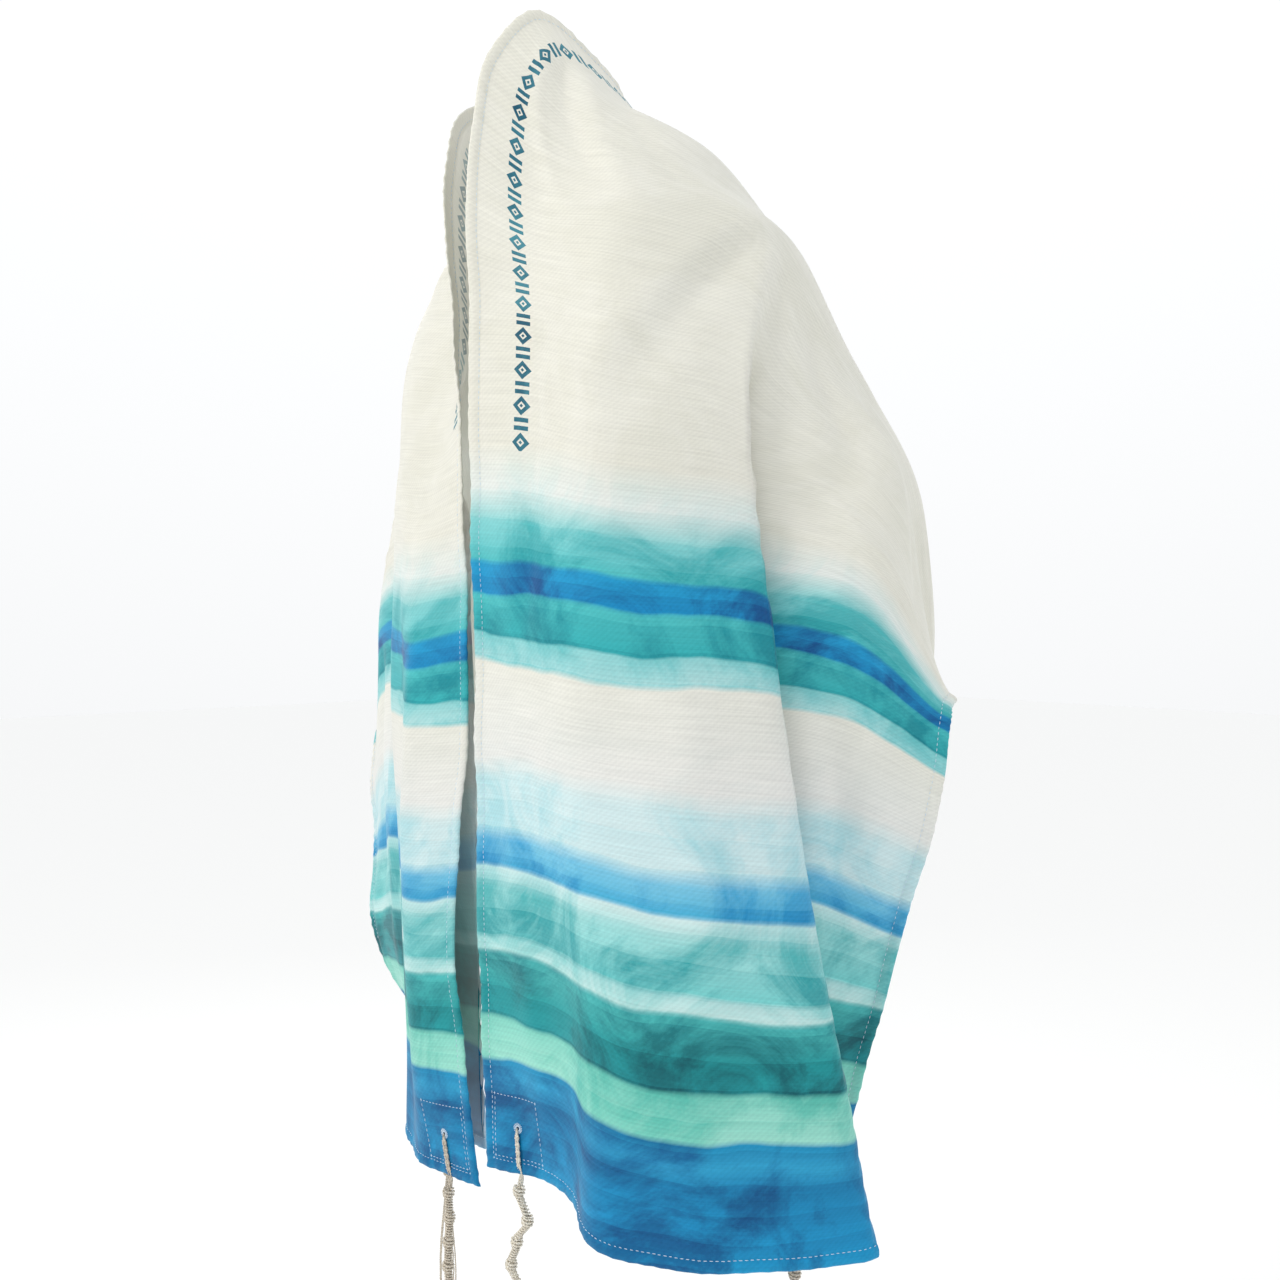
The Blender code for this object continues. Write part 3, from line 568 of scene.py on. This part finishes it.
def printed_cloth(name, paler, glow):
    """Plain-woven cotton and silk, dyed in stripes; the dye is paler behind.

    The real cloth is fine and slubby with a dull silk gleam. That gives the eye short pale lines
    across the cloth, a soft sheen on the turned folds and dye that pools in clouds. The colour is
    painted darker where the weave lies low, as shade in its hollows, and a dark spot is painted
    at each eyelet as the shade seen through the hole.
    """
    made, tree, shader = new_material(
        name, roughness=0.50, gleam=0.20, sheen=0.05, sheen_roughness=0.35, glow=glow)
    add = partial(add_node, tree)
    places = add("ShaderNodeUVMap", uv_map="cut")
    split = add("ShaderNodeSeparateXYZ", [places], out=None)
    across, along = split.outputs[0], split.outputs[1]
    from_middle = add(MATH, [along], operation="ABSOLUTE")
    from_end = add(MATH, [HALF, from_middle], operation="SUBTRACT")

    # stripe edges sway a few mm; inside a stripe the dye pools in clouds of 3 to 10 cm
    sway = add(NOISE, {"Vector": places, "Scale": 13.0, "Detail": 3.0, "Roughness": 0.4})
    swayed = add(MATH, [sway, DYE_SWAY, from_end], operation="MULTIPLY_ADD")
    swayed = add(MATH, [swayed, DYE_SWAY / 2], operation="SUBTRACT")
    dyed_at = add("ShaderNodeMapRange", {0: swayed, 2: STRIPES_REACH})
    clouds = add(NOISE, {"Vector": places, "Scale": 10.0, "Detail": 8.0, "Roughness": 0.66,
                              "Distortion": 1.3})
    clouds = add("ShaderNodeMapRange", [clouds, *CLOUD_EDGES])
    grains = add(NOISE, {"Vector": places, "Scale": 260.0, "Detail": 2.0})
    pooled = add(MIX, {0: GRAIN_SHARE, 2: clouds, 3: grains})
    layer = add(MATH, [swayed, LAYER_PITCH], operation="DIVIDE")
    layer = add(MATH, [layer], operation="FRACT")
    thick = add(MIX, {0: LAYER_SHARE, 2: pooled, 3: layer})
    thin_wash = add("ShaderNodeValToRGB", [dyed_at], stops=stripe_stops(1))
    thick_wash = add("ShaderNodeValToRGB", [dyed_at], stops=stripe_stops(2))
    dyed = add(MIX, {0: thick, 6: thin_wash, 7: thick_wash}, out=2, data_type="RGBA")

    figures = figure_band(add, across, along)
    ink = add("ShaderNodeValToRGB", [clouds], stops=INK)
    dyed = add(MIX, {0: figures, 6: dyed, 7: ink}, out=2, data_type="RGBA")

    weave = plain_weave(add, places)
    # painted shade: the colour is darker where the weave lies low, as shade in its hollows; the
    # paler slubs are partly the cloth's own tone
    painted_weave_shade = add("ShaderNodeMapRange", [weave, *WEAVE_PAINTED_SHADE])
    woven = add("ShaderNodeVectorMath", {0: dyed, 3: painted_weave_shade}, operation="SCALE")

    # painted shade: a dark navy spot at each eyelet stands in for the shadow seen through the hole,
    # as the cloth is not cut
    hole = painted_hole_shade_spots(add, across, from_end)
    base = add(MIX, {0: hole, 6: woven, 7: linear(PAINTED_HOLE_SHADE)}, out=2, data_type="RGBA")
    base = add(MIX, {0: paler, 6: base, 7: linear(UNDYED)}, out=2, data_type="RGBA")
    tree.links.new(base, shader.inputs["Base Color"])
    rough = add("ShaderNodeMapRange", [weave, *WEAVE_ROUGHNESS])
    tree.links.new(rough, shader.inputs["Roughness"])
    bump = add("ShaderNodeBump", {"Strength": 0.30, "Distance": 0.0005, "Height": weave})
    tree.links.new(bump, shader.inputs["Normal"])
    return made


def plain_thread(name, light, painted_hollow_shade, hair):
    """Cotton or wool, spun and twisted of plies.

    The real thread is matt and hairy. That gives the eye a soft bright nap at its sides; the
    colour is painted darker where the hairs lie low, as shade in the hollows between them.
    """
    made, tree, shader = new_material(
        name, roughness=0.82, gleam=0.3, sheen=0.35, sheen_roughness=0.5)
    places = add_node(tree, "ShaderNodeTexCoord", out=3)
    fluff = add_node(tree, "ShaderNodeTexNoise", {"Vector": places, "Scale": hair, "Detail": 4.0})
    # painted shade: the dark stop where the hairs lie low, the light stop where they stand high,
    # from the same noise as the bump
    colour = add_node(tree, "ShaderNodeValToRGB", [fluff], stops=((0.32, painted_hollow_shade), (0.68, light)))
    tree.links.new(colour, shader.inputs["Base Color"])
    bump = add_node(tree, "ShaderNodeBump", {"Strength": 0.35, "Distance": 0.0003, "Height": fluff})
    tree.links.new(bump, shader.inputs["Normal"])
    return made


def geometry_tree(name, sizes):
    """An empty Geometry Nodes tree with named sizes as its inputs."""
    tree = bpy.data.node_groups.new(name, "GeometryNodeTree")
    tree.interface.new_socket("Geometry", in_out="INPUT", socket_type="NodeSocketGeometry")
    for size in sizes:
        tree.interface.new_socket(size, in_out="INPUT", socket_type="NodeSocketFloat")
    tree.interface.new_socket("Geometry", in_out="OUTPUT", socket_type="NodeSocketGeometry")
    return tree, tree.nodes.new("NodeGroupInput")


def finish_tree(tree, geometry, look):
    """Makes the instances real, gives them their material and ends the tree."""
    real = add_node(tree, "GeometryNodeRealizeInstances", {0: geometry})
    dressed = add_node(tree, "GeometryNodeSetMaterial", {0: real, 2: look})
    add_node(tree, "NodeGroupOutput", {0: dressed}, out=None)


def stitch_tree(look):
    """A row of stitches along every polyline, each lying flat on its point's facing."""
    tree, given = geometry_tree("stitches", ("Stitch", "Gap", "Thread"))
    stitch, gap, width = given.outputs[1], given.outputs[2], given.outputs[3]
    line = add_node(tree, "GeometryNodeMeshToCurve", {0: given.outputs[0]})
    pitch = add_node(tree, MATH, {0: stitch, 1: gap}, operation="ADD")
    line = add_node(tree, "GeometryNodeResampleCurve", {0: line, 3: pitch}, mode="LENGTH")
    facing = add_node(
        tree, "GeometryNodeInputNamedAttribute", {0: "facing"}, data_type="FLOAT_VECTOR")
    tangent = add_node(tree, "GeometryNodeInputTangent")
    turn = add_node(tree, "FunctionNodeAlignRotationToVector", {2: facing}, axis="Z")
    turn = add_node(
        tree, "FunctionNodeAlignRotationToVector", {0: turn, 2: tangent}, axis="X", pivot_axis="Z")
    bead = add_node(tree, "GeometryNodeMeshUVSphere", {0: BEAD_SIDES, 1: BEAD_RINGS, 2: 0.5})
    size = add_node(tree, "ShaderNodeCombineXYZ", {0: stitch, 1: width, 2: width})
    rows = add_node(tree, "GeometryNodeInstanceOnPoints", {0: line, 2: bead, 5: turn, 6: size})
    finish_tree(tree, rows, look)
    return tree


def strand_tree(look):
    """A three-ply strand along every polyline, as thick as its radius says."""
    tree, given = geometry_tree("strands", ("Ring step", "Lay"))
    line = add_node(tree, "GeometryNodeMeshToCurve", {0: given.outputs[0]})
    line = add_node(tree, "GeometryNodeResampleCurve", {0: line, 3: given.outputs[1]}, mode="LENGTH")
    along = add_node(tree, "GeometryNodeSplineParameter", out=1)
    turns = add_node(tree, MATH, {0: along, 1: given.outputs[2]}, operation="DIVIDE")
    tilt = add_node(tree, MATH, {0: turns, 1: 2 * math.pi}, operation="MULTIPLY")
    line = add_node(tree, "GeometryNodeSetCurveTilt", {0: line, 2: tilt})
    plies = add_node(tree, "GeometryNodeCurveStar", {0: PLIES, 1: PLY_HOLLOW, 2: PLY_TOP, 3: 0.0})
    radius = add_node(tree, "GeometryNodeInputNamedAttribute", {0: "thick"}, data_type="FLOAT")
    rope = add_node(tree, "GeometryNodeCurveToMesh", {
        "Curve": line, "Profile Curve": plies, "Scale": radius, "Fill Caps": True})
    smooth = add_node(tree, "GeometryNodeSetShadeSmooth", {0: rope})
    finish_tree(tree, smooth, look)
    return tree


def from_lines(name, lines, tree, sizes, **attributes):
    """A plain mesh that a tree makes along polylines. Each attribute has one list per line."""
    verts, edges = [], []
    for line in lines:
        first = len(verts)
        verts += list(line)
        edges += [(first + i, first + i + 1) for i in range(len(line) - 1)]
    guide = new_object(name + "_guide", verts, [], edges)
    for key, values in attributes.items():
        flat = np.concatenate([np.asarray(v, float) for v in values])
        if flat.ndim == 2:
            layer = guide.data.attributes.new(key, "FLOAT_VECTOR", "POINT")
            layer.data.foreach_set("vector", flat.ravel())
        else:
            layer = guide.data.attributes.new(key, "FLOAT", "POINT")
            layer.data.foreach_set("value", flat)
    modifier = guide.modifiers.new("nodes", "NODES")
    modifier.node_group = tree
    sockets = {s.name: s.identifier for s in tree.interface.items_tree if s.in_out == "INPUT"}
    for size, value in sizes.items():
        modifier[sockets[size]] = value
    bpy.context.view_layer.update()
    seen = guide.evaluated_get(bpy.context.evaluated_depsgraph_get())
    mesh = bpy.data.meshes.new_from_object(seen)
    made = bpy.data.objects.new(name, mesh)
    bpy.context.scene.collection.objects.link(made)
    bpy.data.objects.remove(guide, do_unlink=True)
    return made


def place(piece, slot, *nodes):
    """Puts a piece on the part's one body, and hides the solids that it stands for."""
    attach(piece, "root")
    if nodes:
        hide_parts(*nodes)
    return piece


# The pieces

def sheet_mesh(name, alongs, acrosses, outer, inner, looks):
    """A closed wall between two grids of points, with a rounded rim and the cut as its UVs."""
    rows, columns = outer.shape[:2]
    rim = [(r, 0) for r in range(rows)] + [(rows - 1, c) for c in range(1, columns)]
    rim += [(r, columns - 1) for r in range(rows - 2, -1, -1)]
    rim += [(0, c) for c in range(columns - 2, 0, -1)]
    middle = (outer + inner) / 2
    inwards = {(r, c): (min(max(r, 1), rows - 2), min(max(c, 1), columns - 2)) for r, c in rim}
    round_rim = []
    for spot in rim:
        away = middle[spot] - middle[inwards[spot]]
        round_rim.append(middle[spot] + away / np.linalg.norm(away) * RIM_ROUND)
    verts = [*outer.reshape(-1, 3), *inner.reshape(-1, 3), *round_rim]
    back = rows * columns
    faces, cuts, kinds = [], [], []
    cut = [(acrosses[c], alongs[r]) for r in range(rows) for c in range(columns)]
    for r in range(rows - 1):
        for c in range(columns - 1):
            here, below = r * columns + c, (r + 1) * columns + c
            corners = (here, below, below + 1, here + 1)
            faces.append(corners)
            cuts.append([cut[i] for i in corners])
            kinds.append(0)
            # both sides are split along the same diagonal, so they don't cross at a sharp bend
            behind = (corners[0], *reversed(corners[1:]))
            faces.append(tuple(back + i for i in behind))
            cuts.append([cut[i] for i in behind])
            kinds.append(1)
    for k, (r, c) in enumerate(rim):
        n = (k + 1) % len(rim)
        here, there = r * columns + c, rim[n][0] * columns + rim[n][1]
        k_edge, n_edge = 2 * back + k, 2 * back + n
        faces.append((here, k_edge, n_edge, there))
        faces.append((k_edge, back + here, back + there, n_edge))
        for _ in range(2):
            cuts.append([cut[here], cut[here], cut[there], cut[there]])
            kinds.append(0)
    made = new_object(name, verts, faces)
    layer = made.data.uv_layers.new(name="cut")
    layer.data.foreach_set("uv", np.array([c for face in cuts for c in face], float).ravel())
    for look in looks:
        made.data.materials.append(look)
    made.data.polygons.foreach_set("material_index", [min(k, len(looks) - 1) for k in kinds])
    made.data.shade_smooth()
    return made


def make_cloth(looks):
    """The whole cloth as one sheet, twice turned to the inside along its four hems."""
    alongs = spaced(CLOTH_LENGTH, ROW_STEP) - HALF
    acrosses = spaced(CLOTH_WIDTH, COLUMN_STEP)
    middle, facing = cloth_grid(alongs, acrosses)
    edge = to_edge(alongs, acrosses)[..., None]
    hem = 1 - ease(edge, HEM, HEM + HEM_STEP)
    puff = np.sin(math.pi * np.clip(edge / HEM_STITCHES, 0, 1)) ** HEM_SWELL_POWER
    swell = HEM_SWELL * HEM_EXTRA * puff * hem
    outer = middle + facing * (HALF_WALL + swell)
    inner = middle - facing * (HALF_WALL + HEM_EXTRA * hem)
    return sheet_mesh("shawl_cloth", alongs, acrosses, outer, inner, looks)


def corner(end, outer, along_in, across_in):
    """Places along and across the cloth that lie these distances in from one corner."""
    alongs = [end * (HALF - a) for a in along_in]
    acrosses = [CLOTH_WIDTH - c if outer else c for c in across_in]
    return alongs, acrosses


def make_patch(name, end, outer, look):
    """A square of the cloth, turned under at its edges and sewn inside a corner."""
    steps = [PATCH_INSET + at_mm(row) for row in PATCH_ROWS]
    alongs, acrosses = corner(end, outer, steps, steps)
    alongs, acrosses = sorted(alongs), sorted(acrosses)
    middle, facing = cloth_grid(alongs, acrosses)
    near, far = PATCH_INSET, PATCH_INSET + PATCH_SIZE
    in_along = np.array([min(HALF - abs(a) - near, far - HALF + abs(a)) for a in alongs])
    from_neck = [CLOTH_WIDTH - c if outer else c for c in acrosses]
    in_across = np.array([min(c - near, far - c) for c in from_neck])
    edge = np.minimum(in_along[:, None], in_across[None, :])[..., None]
    puff = PATCH_PUFF * np.sin(math.pi * np.clip(edge / PATCH_PUFF_REACH, 0, 1))
    top = middle - facing * (HALF_WALL + PATCH_CLEAR)
    return sheet_mesh(name, alongs, acrosses, top, top - facing * (PATCH_WALL + puff), [look])


def make_stitches(name, tree):
    """White lockstitch: along the four hems, and round each corner square, on both faces."""
    lines, facings = [], []
    long_way = np.linspace(-HALF + HEM_STITCHES, HALF - HEM_STITCHES, LONG_ROW_POINTS)
    short_way = np.linspace(HEM_STITCHES, CLOTH_WIDTH - HEM_STITCHES, SHORT_ROW_POINTS)
    runs = [(long_way, [HEM_STITCHES]), (long_way, [CLOTH_WIDTH - HEM_STITCHES])]
    runs += [([HALF - HEM_STITCHES], short_way), ([HEM_STITCHES - HALF], short_way)]
    far = PATCH_INSET + PATCH_SIZE - PATCH_STITCHES
    square = np.linspace(PATCH_INSET + PATCH_STITCHES, far, SQUARE_POINTS)
    for _, end, outer, _, _ in FRINGES:
        for side in (square[0], square[-1]):
            runs.append(corner(end, outer, [side], square))
            runs.append(corner(end, outer, square, [side]))
    for i, (alongs, acrosses) in enumerate(runs):
        middle, facing = cloth_grid(alongs, acrosses)
        middle, facing = middle.reshape(-1, 3), facing.reshape(-1, 3)
        inner = HALF_WALL + (HEM_EXTRA if i < HEMS else PATCH_WALL + PATCH_STITCH_LIFT)
        for lift, side in ((HALF_WALL + ON_TOP, 1), (inner + ON_TOP, -1)):
            lines.append(middle + facing * lift * side)
            facings.append(facing * side)
    return from_lines(name, lines, tree, LOCKSTITCH, facing=facings)


def make_eyelets(name, tree):
    """Whipped eyelets: threads laid outwards all round each hole."""
    lines, facings = [], []
    for _, end, outer, _, _ in FRINGES:
        for side in (1, -1):
            depth = HALF_WALL if side > 0 else HALF_WALL + PATCH_WALL + PATCH_CLEAR
            for k in range(EYELET_THREADS):
                turn = 2 * math.pi * k / EYELET_THREADS
                ends = []
                for radius in (EYELET_HOLE, EYELET_RING):
                    along_in = EYELET_IN + radius * math.cos(turn)
                    across_in = EYELET_IN + radius * math.sin(turn)
                    middle, facing = cloth_grid(*corner(end, outer, [along_in], [across_in]))
                    ends.append(middle[0, 0] + facing[0, 0] * side * (depth + ON_TOP))
                lines.append(ends)
                facings.append([facing[0, 0] * side] * 2)
    return from_lines(name, lines, tree, WHIPPING, facing=facings)


def bundle_centre(end, outer, sway):
    """Middle of the knotted run: over the face and its hem, then down from knot to knot."""
    alongs, acrosses = corner(end, outer, [EYELET_IN * up for up in ON_FACE], [EYELET_IN])
    middle, facing = cloth_grid(alongs, acrosses)
    face = middle[:, 0] + facing[:, 0] * (HALF_WALL + STRAND_RADIUS + FRINGE_CLEAR)
    behind = middle[:, 0] - facing[:, 0] * (HALF_WALL + PATCH_WALL + HEM_EXTRA + STRAND_RADIUS)
    hem = face[-1] - np.array((0, 0, EYELET_IN * ON_FACE[-1]))
    knots = []
    for k in range(KNOTS):
        knot = hem - np.array((0, 0, DROP_TO_KNOT + k * KNOT_PITCH))
        knot[0] += sway * math.sin(k * KNOT_SWAY_TURN)
        knots.append(knot)
    return face, behind, facing[:, 0], np.array(knots)


def wound(centres, radius, turns, start):
    """A strand wound round a run of centres."""
    t = np.linspace(0, 1, max(8, round(turns * WRAP_POINTS)))
    run = np.linspace(0, 1, len(centres))
    core = np.stack([np.interp(t, run, centres[:, i]) for i in range(3)], axis=1)
    angle = start + 2 * math.pi * turns * t
    ring = np.stack([np.cos(angle), np.sin(angle), WRAP_RISE * np.sin(2 * angle)], axis=1)
    return core + radius * ring


def over_the_hem(start, s, facing):
    """Thread s on its way from the eyelet over the hem, twisted with its neighbour."""
    t = np.linspace(0, 1, PAIR_POINTS)
    run = np.linspace(0, 1, len(start))
    line = np.stack([np.interp(t, run, start[:, i]) for i in range(3)], axis=1)
    twist = 2 * math.pi * PAIR_TWISTS * t + math.pi * (s % 2)
    pair = (-1 if s % 4 < 2 else 1) * PAIR_APART * STRAND_RADIUS
    side = pair + PAIR_SWING * STRAND_RADIUS * np.cos(twist)
    outwards = 1 if s < STRINGS // 2 else -1
    lift = PAIR_LIFT * STRAND_RADIUS * (1 + np.sin(twist)) * outwards
    spread = ease(t, *PAIR_SPREADS)
    over = np.cross(facing, (0, 0, 1.0))
    return line + np.outer(side * spread, over) + np.outer(lift * spread, facing)


def loose_end(top, angle, draws):
    """A loose end: it keeps the kinks of the winding and drifts away from the others."""
    u = np.linspace(0, 1, LOOSE_POINTS + 1)[1:]
    length = STRING_LENGTH * draws.uniform(*LOOSE_LENGTHS)
    heading = angle + draws.uniform(*LOOSE_TURNS)
    reach = draws.uniform(*LOOSE_DRIFTS)
    phase, kinks = draws.uniform(*ANY_PHASE, 2), draws.uniform(*KINKS)
    bend = LOOSE_BEND * np.sin(2 * math.pi * LOOSE_BENDS * u + phase[0]) * u
    out = reach * u**DRIFT_POWER + bend
    kink = KINK_HEIGHT * np.sin(2 * math.pi * kinks * u + phase[1])
    wiggle = kink * (KINK_SHARE[0] + KINK_SHARE[1] * u)
    return np.stack([
        top[0] + out * math.cos(heading) - wiggle * math.sin(heading),
        top[1] + out * math.sin(heading) + wiggle * math.cos(heading),
        top[2] - length * u,
    ], axis=1)


def windings(knots):
    """Knots of two strands, fuller in the middle, and the winding from each to the next."""
    half = np.array((0, 0, KNOT_LENGTH / 2))
    lines, thick = [], []
    for k, knot in enumerate(knots):
        core = np.array([knot + half, knot, knot - half])
        for turn in (0.0, math.pi):
            line = wound(core, KNOT_WRAP_RADIUS, KNOT_WRAPS / 2, turn + k)
            round_it = np.linspace(KNOT_ROUND, math.pi - KNOT_ROUND, len(line))
            full = KNOT_ENDS + KNOT_SWELL * np.sin(round_it)
            lines.append(knot + (line - knot) * np.stack([full, full, np.ones(len(line))], axis=1))
            thick.append(np.full(len(line), STRAND_RADIUS * KNOT_THREAD))
        if k < KNOTS - 1:
            between = np.array([knot - half, knots[k + 1] + half])
            lines.append(wound(between, WRAP_RADIUS, WRAPS_BETWEEN, k))
            thick.append(np.full(len(lines[-1]), STRAND_RADIUS))
    return lines, thick


def make_fringe(name, end, outer, sway, tree, seed):
    """Four threads doubled through the eyelet: wound and knotted, then eight loose ends."""
    draws = np.random.default_rng(seed)
    face, behind, facing, knots = bundle_centre(end, outer, sway)
    under = (face[-1] + behind[-1]) / 2 - np.array((0, 0, EYELET_IN * ON_FACE[-1] + UNDER_HEM))
    below = knots[-1] - np.array((0, 0, KNOT_LENGTH / 2))
    centre = np.array([under, *knots, below])
    lines, thick = [], []
    for s in range(STRINGS):
        angle = 2 * math.pi * s / STRINGS
        upper = over_the_hem(face if s < STRINGS // 2 else behind, s, facing[0])
        ring = BUNDLE_RADIUS * np.array((math.cos(angle), math.sin(angle), 0))
        core = []
        for a, b in zip(centre[:-1], centre[1:]):
            core += [a + (b - a) * u + ring for u in np.linspace(0, 1, CORE_POINTS)[:-1]]
        core.append(centre[-1] + ring)
        lines.append(np.array([*upper, *core, *loose_end(core[-1], angle, draws)]))
        slim = np.full(len(lines[-1]), STRAND_RADIUS)
        slim[-len(TIP_SHARES):] *= TIP_SHARES
        thick.append(slim)
    wound_lines, wound_thick = windings(knots)
    return from_lines(name, lines + wound_lines, tree, THREE_PLY, thick=thick + wound_thick)


def make_pieces():
    face = printed_cloth("woven cotton and silk, dyed face", paler=0.0, glow=0.3)
    reverse = printed_cloth("woven cotton and silk, paler reverse", paler=0.38, glow=0.85)
    sewing = plain_thread("spun sewing cotton, white", "#DCE8F2", "#B4CBE0", hair=900.0)
    wools = {
        "cream": plain_thread("spun wool, cream", "#FFFBF0", "#E4DAC6", hair=700.0),
        # painted shade: the same cream wool, darker, for the fringes that hang in shade
        "shaded_cream": plain_thread("spun wool, cream, darkened as painted shade", "#EFE7D8", "#C9BCA8", hair=700.0),
    }
    solids = ("cloth_back", "cloth_left_front", "cloth_right_front")
    cloth = place(make_cloth([face, reverse]), "cloth", *solids)
    stitches = stitch_tree(sewing)
    trims = [
        place(make_stitches("hem_stitches", stitches), "cord"),
        place(make_eyelets("eyelet_threads", stitches), "cord"),
    ]
    strands = {wool: strand_tree(look) for wool, look in wools.items()}
    for i, (corner_name, end, outer, sway, wool) in enumerate(FRINGES):
        patch = make_patch("corner_square_" + corner_name, end, outer, reverse)
        trims.append(place(patch, "patch", "patch_" + corner_name))
        name, seed = "knotted_fringe_" + corner_name, FIRST_SEED + i
        fringe = make_fringe(name, end, outer, sway, strands[wool], seed)
        trims.append(place(fringe, "cord", "fringe_" + corner_name))


# The studio

def aim(thing, at, towards):
    thing.location = at
    thing.rotation_euler = Vector(towards).to_track_quat("-Z", "Y").to_euler()


def make_camera():
    camera = bpy.data.objects.new("camera", bpy.data.cameras.new("camera"))
    camera.data.lens, camera.data.sensor_width = LENS, SENSOR
    camera.data.sensor_fit = "HORIZONTAL"
    camera.data.clip_start = 0.05
    aim(camera, CAMERA_AT, CAMERA_LOOKS)
    bpy.context.scene.collection.objects.link(camera)
    bpy.context.scene.camera = camera


def make_studio():
    low = CAD_BOX[0][2] - FLOOR_BELOW
    spots = [(x * FLOOR_HALF, y * FLOOR_HALF, low) for x, y in ((-1, -1), (1, -1), (1, 1), (-1, 1))]
    floor = new_object("floor", spots, [(0, 1, 2, 3)])
    # pressed paper is matt, so it gives the eye an even pale ground with no reflections
    paper, _, shader = new_material(
        "matt pressed studio paper", roughness=0.95, gleam=0.2, sheen=0.0, sheen_roughness=0.5)
    shader.inputs["Base Color"].default_value = linear("#FBFBFA")
    floor.data.materials.append(paper)
    # Rows: place, size, power in W, colour
    lamps = (
        ((-0.3, -2.4, 1.2), 0.9, 25.0, "#FFFAF1"),
        ((2.4, -0.2, 0.5), 1.6, 3.0, "#F2F6FF"),
        ((-2.3, 1.3, 1.0), 1.0, 9.0, "#FFFFFF"),
    )
    for at, width, power, colour in lamps:
        lamp = bpy.data.lights.new("soft box", "AREA")
        lamp.shape, lamp.size, lamp.energy = "SQUARE", width, power
        lamp.color = linear(colour)[:3]
        box = bpy.data.objects.new("soft box", lamp)
        aim(box, at, LAMPS_LOOK - Vector(at))
        bpy.context.scene.collection.objects.link(box)
    world = bpy.data.worlds.new("studio")
    world.use_nodes = True
    tree = world.node_tree
    sky = tree.nodes["Background"]
    sky.inputs["Color"].default_value = linear("#FAFBFC")
    # a white wall and ceiling behind the shawl, and a dimmer room behind the camera
    towards = add_node(tree, "ShaderNodeTexCoord")
    light = add_node(
        tree, "ShaderNodeVectorMath", [towards, ROOM_LIGHT], out=1, operation="DOT_PRODUCT")
    light = add_node(tree, MATH, [light, ROOM_LEVEL], operation="ADD")
    tree.links.new(light, sky.inputs["Strength"])
    bpy.context.scene.world = world
    bpy.context.scene.view_settings.view_transform = "Standard"


make_camera()
make_studio()
make_pieces()
